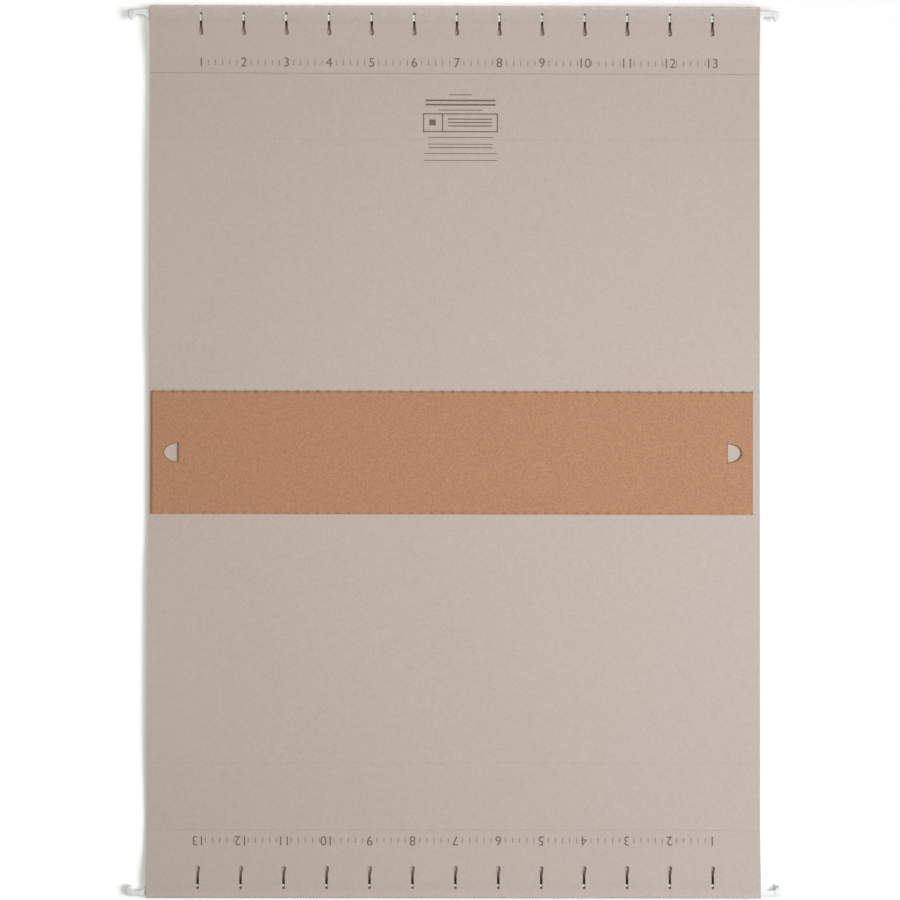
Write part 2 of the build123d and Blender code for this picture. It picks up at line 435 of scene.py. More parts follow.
card_finish = card_material()
print("made:", card_finish.name)

# %% Kraft board: dark cut rims partly of painted shade, and torn tufts
KRAFT_COLOUR, KRAFT_RIM = srgb(179, 134, 102), srgb(92, 68, 50)
RIM_REACH, TUFT_REACH, PULL_RIM_REACH = 0.4 * MM, 2.2 * MM, 0.9 * MM
RIM_SHIFT = Vector((0.6 * MM, -0.35 * MM, 0.0))
PULL_INSET, PULL_DEPTH, PULL_HEIGHT, PULL_SHIFT = 7.3 * MM, 8.6 * MM, 11.3 * MM, 0.4 * MM
pull_middle = board_middle + Vector((PULL_SHIFT, 0.0, 0.0))
straight_x = board_half.x - PULL_INSET - PULL_DEPTH


def kraft_material():
    """The board's finish: a dark rim, partly painted shade, on the left and back, darker tufts and pulls."""
    made, tree, shader, colour = fibre_material(
        "kraft board", Colour=KRAFT_COLOUR, Cloud_scale=300.0, Cloud_depth=0.14, Fibre_scale=820.0,
        Fibre_depth=0.7, Fleck_depth=0.1,
    )
    # A thin dark rim on the left end and the back edge: the cut edges darkened, partly as painted shade
    thin = mask_of(
        tree, rim_mask, Centre=board_middle + RIM_SHIFT, Half_size=board_half, Reach=RIM_REACH
    )
    wide = mask_of(
        tree, rim_mask, Centre=board_middle, Half_size=(NO_RIM, board_half.y, NO_RIM), Reach=TUFT_REACH
    )
    pulls = mask_of(
        tree, pull_rim, Centre=pull_middle, Straight_x=straight_x, Size=(PULL_DEPTH, PULL_HEIGHT / 2, 1.0),
        Mean_radius=(PULL_DEPTH + PULL_HEIGHT / 2) / 2, Reach=PULL_RIM_REACH,
    )
    tufts = product(tree, wide, nick_tufts(tree))
    coat(tree, shader, colour, [(thin, 0.3, KRAFT_RIM), (tufts, 0.6, KRAFT_RIM), (pulls, 0.6, KRAFT_RIM)])
    return made


kraft_finish = kraft_material()
print("made:", kraft_finish.name)

# %% [markdown]
# ## Moulded plastic, ink and glue
# The rods are moulded in white plastic with a satin skin: faint flow lines run along the rod, the gloss
# varies a little, and a band of painted shade darkens each rod where it shows through the slots. The
# print is brown-grey ink that soaks unevenly into the fibre. The glue dried to a dull film that shows only
# at the ends of a hem. One noise drives colour and height together in each, which is all that such thin
# finishes need.

# %% Rod, ink and glue materials
# Noises: scale, stretch along the axes, detail
FLOW = (120.0, (0.12, 1.0, 1.0), 3.0)
SOAK = (1900.0, (1.0, 1.0, 1.0), 4.0)
FILM = (140.0, (1.0, 1.0, 1.0), 4.0)
ROD_TONES = srgb(226, 229, 224), srgb(236, 239, 234)
INK_TONES = srgb(98, 84, 76), srgb(134, 119, 108)
GLUE_TONES = srgb(214, 206, 184), srgb(230, 224, 206)
# A band of painted shade on each rod, by its distance from the fold, where it shows through the slots
ROD_SHADE = srgb(74, 58, 51)
ROD_SHADE_BANDS = {BACK: (4.0 * MM, 5.95 * MM), FRONT: (5.85 * MM, 7.45 * MM)}
ROD_SHADE_END_GAP = 6.5 * MM


def stretched_noise(tree, scale, stretch, detail):
    """A noise value on Object coordinates, drawn out along the axes by the stretch."""
    mapping = add_node(tree, "ShaderNodeMapping", Vector=object_place(tree), Scale=stretch)
    return noise(tree, mapping.outputs["Vector"], scale, detail)


def two_tones(tree, value, low, high, tones):
    """A colour that goes from the first tone to the second as a value goes from low to high."""
    node = add_node(tree, "ShaderNodeValToRGB", Fac=value)
    for stop, position, tone in zip(node.color_ramp.elements, (low, high), tones):
        stop.position, stop.color = position, tone
    return node.outputs["Color"]


def varied_material(name, roughness, specular, pattern, low, high, tones, relief):
    """A finish whose colour and height follow one noise."""
    made, tree, shader = principled(name, roughness, specular)
    value = stretched_noise(tree, *pattern)
    feed(tree, shader, Base_Color=two_tones(tree, value, low, high, tones))
    bump(tree, shader, value, relief)
    return made


# Where the painted shade lies on the rods
def dust_mask(tree):
    """One in a band along each rod, by its distance from the fold, away from the rod's bare ends."""
    bands = [
        within(tree, "Y", side * (fold_y - (near + far) / 2), (far - near) / 2)
        for side, (near, far) in ROD_SHADE_BANDS.items()
    ]
    in_hem = within(tree, "X", 0.0, half_width - ROD_SHADE_END_GAP)
    return product(tree, calc(tree, "MAXIMUM", *bands), in_hem)


def rod_material():
    """Satin white plastic with flow lines, and a band of painted shade."""
    made, tree, shader = principled("white moulded plastic", 0.4, 0.5)
    flow = stretched_noise(tree, *FLOW)
    feed(tree, shader, Roughness=ramp(tree, flow, 0.0, 1.0, 0.32, 0.5))
    # The white flow-lined colour with the band of painted shade over it
    coat(tree, shader, two_tones(tree, flow, 0.3, 0.7, ROD_TONES), [(dust_mask(tree), 0.9, ROD_SHADE)])
    bump(tree, shader, flow, 0.01 * MM)
    return made


rod_finish = rod_material()
ink_finish = varied_material("soaked ink", 0.8, 0.25, SOAK, 0.35, 0.7, INK_TONES, 0.01 * MM)
glue_finish = varied_material("dried glue", 0.45, 0.5, FILM, 0.3, 0.7, GLUE_TONES, 0.03 * MM)
print("made:", rod_finish.name, ink_finish.name, glue_finish.name)

# %% [markdown]
# ## Helpers for meshes
# Every piece ends as a plain mesh at the origin, with its modifiers baked in, because the export keeps
# meshes only. Card edges, slot rims and rod steps stay crisp and gentle bends stay smooth, so edges that
# turn by more than a set angle are marked sharp.

# %% Bake a piece and mark its sharp edges
SAME_POINT = 0.0005 * MM


def put_in_scene(name, data):
    """Links a mesh, a curve, a lamp or a camera to the scene as a new object at the origin."""
    obj = bpy.data.objects.new(name, data)
    bpy.context.scene.collection.objects.link(obj)
    return obj


def bake(obj):
    """Replaces an object by one with the plain mesh that its modifiers or curve settings give."""
    depsgraph = bpy.context.evaluated_depsgraph_get()
    mesh = bpy.data.meshes.new_from_object(obj.evaluated_get(depsgraph))
    name = obj.name
    bpy.data.objects.remove(obj)
    return put_in_scene(name, mesh)


def crisp(obj, degrees):
    """Smooth shading, with edges that turn by more than an angle left sharp."""
    form = bmesh.new()
    form.from_mesh(obj.data)
    bmesh.ops.remove_doubles(form, verts=form.verts, dist=SAME_POINT)
    limit = math.radians(degrees)
    for face in form.faces:
        face.smooth = True
    for edge in form.edges:
        edge.smooth = len(edge.link_faces) == 2 and edge.calc_face_angle(0.0) < limit
    form.to_mesh(obj.data)
    form.free()
    return obj


def dress(obj, finish):
    """Gives a piece its one material."""
    obj.data.materials.clear()
    obj.data.materials.append(finish)
    return obj


# %% [markdown]
# ## The tab slots as a node tree
# Thirteen keyhole slots are punched through each hem: a slit for the foot of an index tab that flares to
# a round bulb, where the tab is pushed in. Each is a repeated cut, so Geometry Nodes makes one keyhole
# punch as the convex hull of round pins, sets it along a line of points, and subtracts the row from the
# card. Slots modelled one by one would have to be made again for every change of pitch.

# %% Helpers for trees that repeat a shape
GEOMETRY, WHOLE, MATERIAL = "NodeSocketGeometry", "NodeSocketInt", "NodeSocketMaterial"
GEOMETRY_TREE, SHAPE = "GeometryNodeTree", {"Geometry": GEOMETRY}
ROW = SHAPE | {"Count": WHOLE, "Finish": MATERIAL, "Start": VECTOR, "Step": VECTOR}


def join(group, *shapes):
    """Some geometry sockets as one."""
    node = add_node(group, "GeometryNodeJoinGeometry")
    for shape in shapes:
        feed(group, node, shape)
    return node.outputs[0]


def in_a_row(group, given, shape, **varied):
    """Copies of a shape along the tree's line of points. What varies is named by its socket."""
    count, start, step = given["Count"], given["Start"], given["Step"]
    row = add_node(
        group, "GeometryNodeMeshLine", mode="OFFSET", Count=count, Start_Location=start, Offset=step
    )
    copies = add_node(
        group, "GeometryNodeInstanceOnPoints", Points=row.outputs[0], Instance=shape, **varied
    )
    return copies.outputs[0]


def subtract(group, body, tool):
    """A body with a tool cut out of it."""
    settings = {"operation": "DIFFERENCE", "solver": "EXACT"}
    return add_node(group, "GeometryNodeMeshBoolean", **settings, Mesh_1=body, Mesh_2=tool).outputs["Mesh"]


def close_tree(group, given, end, shape):
    """Ends a tree with Realize Instances and Set Material."""
    real = add_node(group, "GeometryNodeRealizeInstances", shape).outputs[0]
    finished = add_node(group, "GeometryNodeSetMaterial", Geometry=real, Material=given["Finish"])
    feed(group, end, finished.outputs[0])


def run_tree(obj, tree, **values):
    """Adds a node tree to an object and sets its inputs by their sockets' identifiers."""
    modifier = obj.modifiers.new(tree.name, "NODES")
    modifier.node_group = tree
    items = [item for item in tree.interface.items_tree if item.in_out == "INPUT"]
    sockets = {item.name: item.identifier for item in items}
    for name, value in values.items():
        modifier[sockets[name.replace("_", " ")]] = value


# %% Keyhole punch tree
PIN_SIDES = 24


def pin(group, radius, depth, y):
    """A round pin that stands at y. Its sizes are sockets."""
    sizes = {"Vertices": PIN_SIDES, "Radius": radius, "Depth": depth}
    post = add_node(group, "GeometryNodeMeshCylinder", fill_type="NGON", **sizes).outputs["Mesh"]
    spot = combine(group, Y=y)
    return add_node(group, "GeometryNodeTransform", Geometry=post, Translation=spot).outputs[0]


def hull(group, *shapes):
    """The convex hull of some geometry sockets."""
    return add_node(group, "GeometryNodeConvexHull", join(group, *shapes)).outputs[0]


def make_keyhole_tree():
    """Cuts a row of keyholes along X, each with its narrow end at one y and its bulb at another."""
    sizes = ["Narrow end y", "Slit", "Neck y", "Bulb", "Bulb y", "Depth"]
    group, given, end = new_group("keyhole slots", GEOMETRY_TREE, ROW | dict.fromkeys(sizes, FLOAT), SHAPE)

    def pin_of(size, y):
        return pin(group, given[size], given["Depth"], given[y])

    slit = hull(group, pin_of("Slit", "Narrow end y"), pin_of("Slit", "Neck y"))
    flare = hull(group, pin_of("Slit", "Neck y"), pin_of("Bulb", "Bulb y"))
    punches = in_a_row(group, given, join(group, slit, flare))
    close_tree(group, given, end, subtract(group, given["Geometry"], punches))
    return group


keyhole_tree = make_keyhole_tree()
print("node tree:", keyhole_tree.name, "with", len(keyhole_tree.nodes), "nodes")

# %% [markdown]
# ## A panel with its hem
# Panel and hem are one length of card: flat from the crease, half round over the rod's edge, over the
# rod, down a gentle slope and flat along the glued strip to the free edge. Its middle line is worked out
# as a list of (y, z) points and swept along X. Solidify then gives the card its thickness on both sides
# of that line. Real card never lies dead flat, so the free sides of the panel lift by a millimetre or so,
# most on the left, and under the hem the panel is drawn up in a shallow belly.

# %% The middle line of the card
CREASE_HALF = 0.6 * MM
SLOPE_START = 10.35 * MM
GLUED_STRIP = 9.0 * MM
BEND_RADIUS = 12.0 * MM
PANEL_STEPS, FOLD_STEPS, TOP_STEPS, BEND_STEPS, SLOPE_STEPS, STRIP_STEPS = 64, 14, 4, 4, 5, 5
fold_centre_y = fold_y - fold_radius
flap_high = hem_height - card / 2
flap_low = glue_top + card / 2
slope_y = fold_y - SLOPE_START
level_y = hem_edge_y + GLUED_STRIP
centres_apart = 2 * BEND_RADIUS - (flap_high - flap_low)
slope_length = math.sqrt((slope_y - level_y) ** 2 + centres_apart**2 - (2 * BEND_RADIUS) ** 2)
slope_angle = math.atan2(slope_y - level_y, centres_apart) - math.atan2(slope_length, 2 * BEND_RADIUS)


def steps(first, last, count):
    """Evenly spaced numbers after the first, up to and with the last."""
    return [first + (last - first) * (k + 1) / count for k in range(count)]


def arc(angles, y, z, radius):
    """(y, z) points on an arc, by their angles up from the Y axis."""
    return [(y + radius * math.cos(a), z + radius * math.sin(a)) for a in angles]


def bend(angles, y, z, way):
    """Points on a bend that is level at (y, z): way is 1 where card drops away, -1 where it levels out."""
    return arc([way * math.pi / 2 + a for a in angles], y, z - way * BEND_RADIUS, BEND_RADIUS)


def card_line(begin):
    """(y, z) points along the middle of the card, from its crease to the hem's free edge."""
    line = [(y, card / 2) for y in [begin] + steps(begin, fold_centre_y, PANEL_STEPS)]
    turn = steps(-math.pi / 2, math.pi / 2, FOLD_STEPS)
    line += arc(turn, fold_centre_y, fold_radius, fold_radius - card / 2)
    line += [(y, flap_high) for y in steps(fold_centre_y, slope_y, TOP_STEPS)]
    line += bend(steps(0.0, slope_angle, BEND_STEPS), slope_y, flap_high, 1)
    (head_y, head_z), (foot_y, foot_z) = line[-1], bend([slope_angle], level_y, flap_low, -1)[0]
    line += zip(steps(head_y, foot_y, SLOPE_STEPS), steps(head_z, foot_z, SLOPE_STEPS))
    line += bend(steps(slope_angle, 0.0, BEND_STEPS), level_y, flap_low, -1)
    return line + [(y, flap_low) for y in steps(level_y, hem_edge_y, STRIP_STEPS)]


line = card_line(crease_from_middle[BACK] + CREASE_HALF)
print(f"card line: {len(line)} points, slope {math.degrees(slope_angle):.2f} degrees")

# %% Lift, belly and the swept sheet
LIFT_LEFT, LIFT_RIGHT = 1.2 * MM, 0.4 * MM
LIFT_REACH, LIFT_RISE, LIFT_FALL = 60 * MM, 45 * MM, 60 * MM
BELLY = 0.8 * MM
BELLY_START, BELLY_FULL, BELLY_FALL, BELLY_END = 11.0 * MM, 16.5 * MM, 19.0 * MM, 30.0 * MM
SHEET_COLUMNS = 90
lift_from = max(crease_from_middle.values()) + 1 * MM


def smooth(low, high, value):
    """A smooth rise from 0 at low to 1 at high."""
    share = min(max((value - low) / (high - low), 0.0), 1.0)
    return share * share * (3 - 2 * share)


def lift(x, y):
    """How far the panel's free sides stand up. Zero near the crease and under the hem."""
    held = smooth(lift_from, lift_from + LIFT_RISE, y) * smooth(hem_edge_y, hem_edge_y - LIFT_FALL, y)
    share = max(abs(x) - (half_width - LIFT_REACH), 0.0) / LIFT_REACH
    return (LIFT_LEFT if x < 0 else LIFT_RIGHT) * held * share**2


def belly(y):
    """How far the panel is drawn up towards the flap between the rod and the glue."""
    depth = fold_y - y
    return BELLY * smooth(BELLY_START, BELLY_FULL, depth) * smooth(BELLY_END, BELLY_FALL, depth)


def over_panel(x, y, z):
    """The lift and the belly, for the panel's own layer only."""
    return lift(x, y) + belly(y) if z < card else 0.0


def sweep(name, section, side, rise):
    """A sheet with the card's thickness whose section runs along X, on the back or the front side."""
    columns = [-half_width] + steps(-half_width, half_width, SHEET_COLUMNS)
    points = [(x, side * y, z + rise(x, y, z)) for y, z in section for x in columns]
    wide = len(columns)
    faces = []
    for row in range(len(section) - 1):
        for column in range(wide - 1):
            corner = row * wide + column
            face = (corner, corner + 1, corner + 1 + wide, corner + wide)
            faces.append(face if side > 0 else face[::-1])
    mesh = bpy.data.meshes.new(name)
    mesh.from_pydata(points, [], faces)
    obj = put_in_scene(name, mesh)
    thick = obj.modifiers.new("card thickness", "SOLIDIFY")
    thick.thickness, thick.offset, thick.use_even_offset = card, 0.0, True
    return obj


# %% [markdown]
# The back and front sheets are the same sweep on either side of the bottom. The keyhole tree comes after
# Solidify, so the punch goes through real thickness and the slots get real walls. The panel's inner faces
# are marked with an attribute, so that the painted shade inside a hem can't show on the folder's outside.

# %% Back and front sheets
SLOT_COUNT = 13
SLOT_MARGIN = 30.4 * MM
SLOT_ROW_SHIFT = 1.1 * MM
SLOT_INSET = {BACK: 4.5 * MM, FRONT: 5.7 * MM}
SLOT_LENGTH = 13.9 * MM
SLIT_RADIUS = 0.75 * MM
BULB_RADIUS = 1.45 * MM
SLOT_FLARE = 3.6 * MM
PUNCH_GAP = 0.2 * MM
FACES_UP = 0.3
SHARP_CARD, SHARP_BEAD = 35, 60
slot_pitch = 2 * (half_width - SLOT_MARGIN) / (SLOT_COUNT - 1)
first_slot_x = SLOT_ROW_SHIFT - (SLOT_COUNT - 1) / 2 * slot_pitch


def mark_inner(obj):
    """Marks the faces on the panel's inner side, which the card's finish shades and scores."""
    marks = obj.data.attributes.new("inner_face", "FLOAT", "FACE")
    for face in obj.data.polygons:
        x, y, z = face.center
        from_panel = z - card / 2 - over_panel(x, abs(y), 0.0)
        marks.data[face.index].value = 1.0 if face.normal.z > FACES_UP and abs(from_panel) < card else 0.0
    return obj


def side_sheet(name, side):
    """One panel with its hem. The punch starts between the panel and the flap, so only the flap is cut."""
    obj = sweep(name, card_line(crease_from_middle[side] + CREASE_HALF), side, over_panel)
    punch_low = card + BELLY + PUNCH_GAP
    narrow_y = fold_y - SLOT_INSET[side] - SLIT_RADIUS
    bulb_y = fold_y - SLOT_INSET[side] - SLOT_LENGTH + BULB_RADIUS
    run_tree(
        obj, keyhole_tree, Count=SLOT_COUNT, Finish=card_finish, Step=(slot_pitch, 0.0, 0.0),
        Start=(first_slot_x, 0.0, punch_low + hem_height / 2), Depth=hem_height,
        Narrow_end_y=side * narrow_y, Slit=SLIT_RADIUS, Neck_y=side * (bulb_y + SLOT_FLARE),
        Bulb=BULB_RADIUS, Bulb_y=side * bulb_y,
    )
    return mark_inner(crisp(dress(bake(obj), card_finish), SHARP_CARD))


for name, side in SIDES.items():
    sheet = side_sheet(f"{name}_sheet", side)
    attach(sheet, f"{name}_side")
    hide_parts(f"{name}_panel", f"{name}_hem")
    print(sheet.name, len(sheet.data.polygons), "faces")
print(f"slots {slot_pitch / MM:.2f} mm apart from x = {first_slot_x / MM:.2f} mm")

# %% [markdown]
# ## The bottom and its two creases
# The bottom is the same card, flat under the board. Each crease is a scored line where the card bends: a
# strip about a millimetre wide with a low bead along it.

# %% Bottom sheet and crease strips
CREASE_BEAD = 0.08 * MM
FLAT_STEPS = 12


def no_lift(x, y, z):
    """A sheet that lies flat."""
    return 0.0


def bottom_sheet():
    """The flat card between the creases."""
    first, last = CREASE_HALF - crease_from_middle[FRONT], crease_from_middle[BACK] - CREASE_HALF
    section = [(y, card / 2) for y in [first] + steps(first, last, FLAT_STEPS)]
    return crisp(dress(bake(sweep("bottom_sheet", section, BACK, no_lift)), card_finish), SHARP_CARD)


def crease_strip(name, side):
    """The scored strip, a low bead that the card bends along."""
    section = []
    for shift in [-CREASE_HALF] + steps(-CREASE_HALF, CREASE_HALF, FLAT_STEPS):
        bead = CREASE_BEAD * math.cos(shift / CREASE_HALF * math.pi / 2) ** 2
        section.append((crease_from_middle[side] + shift, crease_z + bead))
    return crisp(dress(bake(sweep(name, section, side, no_lift)), card_finish), SHARP_BEAD)


bottom = bottom_sheet()
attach(bottom, "bottom")
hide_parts("bottom_panel")
for name, side in SIDES.items():
    strip = crease_strip(f"{name}_crease", side)
    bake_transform(strip)
    print(strip.name, len(strip.data.polygons), "faces")

# %% [markdown]
# ## The rods
# Each rod is one moulding: a flat bar with a rounded tip, a barb and a saddle notch at each end that
# hooks over the rail of a file drawer, and two long channels in each face that save plastic. A filled 2D
# curve with an extrusion and a round bevel gives the bar its soft moulded edges, and the channels are cut
# from it.

# %% Filled outlines from a flat curve
ARC_STEPS = 7
EDGE_STEPS = 2


def rounded(corners):
    """Points round a closed outline whose corners are (x, y, radius)."""
    points = []
    for k, (x, y, radius) in enumerate(corners):
        here = Vector((x, y))
        before = (Vector(corners[k - 1][:2]) - here).normalized()
        after = (Vector(corners[(k + 1) % len(corners)][:2]) - here).normalized()
        half = before.angle(after) / 2
        centre = here + (before + after).normalized() * radius / math.sin(half)
        spoke = here + before * radius / math.tan(half) - centre
        last = here + after * radius / math.tan(half) - centre
        turn = math.atan2(spoke.x * last.y - spoke.y * last.x, spoke.dot(last))
        for angle in [0.0] + steps(0.0, turn, ARC_STEPS):
            points.append(centre + Matrix.Rotation(angle, 2) @ spoke)
    return points


def slab(name, outlines, low, high, edge):
    """A filled flat curve between two heights, its edges rounded, as a mesh object."""
    curve = bpy.data.curves.new(name, "CURVE")
    curve.dimensions, curve.fill_mode = "2D", "BOTH"
    curve.extrude = (high - low) / 2 - edge
    curve.bevel_depth, curve.bevel_resolution, curve.offset = edge, EDGE_STEPS, -edge
    for outline in outlines:
        spline = curve.splines.new("POLY")
        spline.points.add(len(outline) - 1)
        for point, place in zip(spline.points, outline):
            point.co = (place[0], place[1], 0.0, 1.0)
        spline.use_cyclic_u = True
    made = bake(put_in_scene(name, curve))
    made.data.transform(Matrix.Translation((0, 0, (low + high) / 2)))
    return made


# %% Rod outline and channels
ROD_EDGE = 0.5 * MM
# Corners of a rod's right end in millimetres: inset from the tip, depth from the fold side, radius
TIP = (0.0, 0.0, 2.4)
HOOK = [(0.0, -4.9, 0.8), (2.4, -7.2, 0.7), (4.6, -3.6, 1.2), (9.2, -3.6, 1.2), (13.4, -7.2, 1.5)]
EDGE_RIB, CHANNEL_WIDTH, CHANNEL_DEPTH = 1.1 * MM, 1.6 * MM, 0.45 * MM
CHANNEL_ROUND = 0.98 * CHANNEL_WIDTH / 2
LONG_CHANNEL_GAP, SHORT_CHANNEL_GAP = 4.0 * MM, 16.0 * MM
SHARP_ROD = 40
CORNERS = ((-1, -1), (1, -1), (1, 1), (-1, 1))


def rod_outline(half, centre_x, edge_y, side):
    """A rod's outline in metres: its fold side on edge_y, its hooks open away from the fold."""
    right = [(half - inset * MM, depth * MM, radius * MM) for inset, depth, radius in [TIP] + HOOK]
    corners = right + [(-x, y, radius) for x, y, radius in reversed(right)]
    placed = [(centre_x + x, edge_y + side * y, radius) for x, y, radius in corners]
    return rounded(placed if side < 0 else placed[::-1])


def box_outline(centre_x, centre_y, half_x, half_y, radius):
    """A box with round corners."""
    return rounded([(centre_x + i * half_x, centre_y + j * half_y, radius) for i, j in CORNERS])


def rod(name, node, side):
    """One rod, with its channels cut into both faces."""
    low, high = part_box(node)
    half, centre_x = (high.x - low.x) / 2, (high.x + low.x) / 2
    fold_side, far_side = (high.y, low.y) if side > 0 else (low.y, high.y)
    inset = side * (EDGE_RIB + CHANNEL_WIDTH / 2)
    rows = ((fold_side - inset, LONG_CHANNEL_GAP), (far_side + inset, SHORT_CHANNEL_GAP))
    channels = [box_outline(centre_x, y, half - gap, CHANNEL_WIDTH / 2, CHANNEL_ROUND) for y, gap in rows]
    bar = slab(name, [rod_outline(half, centre_x, fold_side, side)], low.z, high.z, ROD_EDGE)
    for face, level in (("upper", high.z), ("lower", low.z)):
        tool = slab(f"{face}_channels", channels, level - CHANNEL_DEPTH, level + CHANNEL_DEPTH, 0.0)
        cut = bar.modifiers.new(face, "BOOLEAN")
        cut.operation, cut.solver, cut.object = "DIFFERENCE", "EXACT", tool
        bar = bake(bar)
        bpy.data.objects.remove(tool)
    return crisp(dress(bar, rod_finish), SHARP_ROD)


for name, side in SIDES.items():
    bar = rod(f"{name}_hook_rod", f"{name}_rod", side)
    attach(bar, f"{name}_rod")
    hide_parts(f"{name}_rod")
    print(bar.name, len(bar.data.polygons), "faces")

# %% [markdown]
# ## The kraft board
# The board is die-cut from sheet: a D-shaped pull near each end, whose straight cut runs on a little past
# its corners, and long sides torn along a perforation, which leaves a nick every quarter inch. The blank
# is a filled flat curve with two holes. The nicks repeat along an edge, so a node tree scatters worn
# punches along a line of points and subtracts them, with a fixed seed so that the same nicks come back
# every time.

# %% Board blank with its two pulls
BOARD_EDGE, BOARD_CORNER = 0.06 * MM, 0.4 * MM
OVERCUT, OVERCUT_WIDTH = 1.3 * MM, 0.25 * MM
PULL_STEPS = 28


def pull_outline(side):
    """A D whose curve faces the board's end, with the overcut at both ends of its straight side."""
    half, tip = PULL_HEIGHT / 2, OVERCUT_WIDTH / 2
    first = math.acos(OVERCUT_WIDTH / PULL_DEPTH)
    angles = [-first] + steps(-first, first, PULL_STEPS)
    curve = [(PULL_DEPTH * math.cos(a), half * math.sin(a)) for a in angles]
    d_shape = [(0.0, -half), (tip, -half - OVERCUT)] + curve + [(tip, half + OVERCUT), (0.0, half)]
    return [(pull_middle.x + side * (straight_x + x), board_middle.y + y) for x, y in d_shape]


def board_blank():
    """The board before its long sides are torn from the sheet."""
    outer = box_outline(board_middle.x, board_middle.y, board_half.x, board_half.y, BOARD_CORNER)
    outlines = [outer, pull_outline(1), pull_outline(-1)]
    return slab("kraft_board", outlines, board_low.z, board_high.z, BOARD_EDGE)


# %% Torn perforation tree
NICK_SIDES = 7


def make_nick_tree():
    """Cuts a row of small uneven nicks along X."""
    inputs = ROW | {"Seed": WHOLE, "Smallest": VECTOR, "Largest": VECTOR}
    group, given, end = new_group("torn perforation", GEOMETRY_TREE, inputs, SHAPE)
    punch = add_node(group, "GeometryNodeMeshCylinder", Vertices=NICK_SIDES, Radius=1.0, Depth=1.0)
    size = add_node(
        group, "FunctionNodeRandomValue", given["Smallest"], given["Largest"], data_type="FLOAT_VECTOR",
        Seed=given["Seed"],
    )
    nicks = in_a_row(group, given, punch.outputs["Mesh"], Scale=size.outputs[0])
    close_tree(group, given, end, subtract(group, given["Geometry"], nicks))
    return group


nick_tree = make_nick_tree()
print("node tree:", nick_tree.name)

# %% Cut the nicks along both long sides
NICK_SMALL, NICK_LARGE = (0.25 * MM, 0.12 * MM, 3 * MM), (0.75 * MM, 0.42 * MM, 3 * MM)
BACK_SEED, FRONT_SEED = 3, 8
SHARP_BOARD = 12
board = board_blank()
for edge_y, seed in ((board_high.y, BACK_SEED), (board_low.y, FRONT_SEED)):
    run_tree(
        board, nick_tree, Count=NICK_COUNT, Seed=seed, Finish=kraft_finish,
        Start=(first_nick_x, edge_y, board_middle.z), Step=(NICK_PITCH, 0.0, 0.0),
        Smallest=NICK_SMALL, Largest=NICK_LARGE,
    )
board = crisp(dress(bake(board), kraft_finish), SHARP_BOARD)
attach(board, "board")
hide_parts("bottom_board")
print(board.name, len(board.data.polygons), "faces")

# %% [markdown]
# ## Print
# A scale for the tab positions runs along each hem: a numeral under every slot, with finer marks between,
# and a ruled block for notes is printed on the back panel. Every mark is a thin film of ink. The marks
# repeat, so one node tree sets bars along a line of points and gives every n-th bar another size.
# Numerals are text turned to mesh.

# %% Printed marks tree
def make_marks_tree():
    """Adds bars along a line of points. A bar starts on its point and grows along its own Y."""
    inputs = ROW | {"Every": WHOLE, "Bar": VECTOR, "Long bar": VECTOR, "Turn": FLOAT}
    group, given, end = new_group("printed marks", GEOMETRY_TREE, inputs, SHAPE)
    cube = add_node(group, "GeometryNodeMeshCube").outputs["Mesh"]
    bar = add_node(group, "GeometryNodeTransform", Geometry=cube, Translation=(0.0, 0.5, 0.0)).outputs[0]
    index = add_node(group, "GeometryNodeInputIndex").outputs[0]
    left_over = add_node(group, "FunctionNodeIntegerMath", index, given["Every"], operation="MODULO")
    is_long = add_node(group, "FunctionNodeCompare", data_type="INT", operation="EQUAL")
    feed(group, is_long, A=left_over.outputs[0])
    sizes = {"Switch": is_long.outputs[0], "False": given["Bar"], "True": given["Long bar"]}
    size = add_node(group, "GeometryNodeSwitch", input_type="VECTOR", **sizes).outputs[0]
    bars = in_a_row(group, given, bar, Scale=size, Rotation=combine(group, Z=given["Turn"]))
    close_tree(group, given, end, join(group, given["Geometry"], bars))
    return group


marks_tree = make_marks_tree()
print("node tree:", marks_tree.name)

# %% Numerals under the slots
INK = 0.02 * MM
NUMERAL_SIZE = 8.2 * MM
NUMERAL_DEPTH = 35.0 * MM
flap_top = glue_top + card
reading_turn = {BACK: 0.0, FRONT: math.pi}


def numeral(text, x, y, turn):
    """One numeral as a thin closed mesh, centred on a point of the hem."""
    letters = bpy.data.curves.new("numeral", "FONT")
    letters.body, letters.size, letters.extrude = text, NUMERAL_SIZE, INK / 2
    letters.align_x, letters.align_y = "CENTER", "CENTER"
    made = bake(put_in_scene("numeral", letters))
    made.data.transform(Matrix.Translation((x, y, flap_top + INK / 2)) @ Matrix.Rotation(turn, 4, "Z"))
    return made


def merge(name, parts):
    """Joins some mesh objects into one new mesh object."""
    form = bmesh.new()
    for part in parts:
        form.from_mesh(part.data)
        bpy.data.objects.remove(part)
    mesh = bpy.data.meshes.new(name)
    form.to_mesh(mesh)
    form.free()
    return put_in_scene(name, mesh)


def numerals(name, side):
    """The numerals 1 to 13 of one hem, which read upright with that hem at the top."""
    parts = []
    for k in range(SLOT_COUNT):
        text = str(k + 1 if side > 0 else SLOT_COUNT - k)
        x, y = first_slot_x + k * slot_pitch, side * (fold_y - NUMERAL_DEPTH)
        parts.append(numeral(text, x, y, reading_turn[side]))
    return merge(name, parts)


# %% The scale along a hem, and the ruled block
MARKS_BETWEEN = 6
SCALE_DEPTH = 36.6 * MM
FINE_MARK, SLOT_MARK = (0.35 * MM, 3.2 * MM, INK), (0.35 * MM, 0.4 * MM, INK)
BLOCK_X, BLOCK_WIDTH = 3.4 * MM, 46 * MM
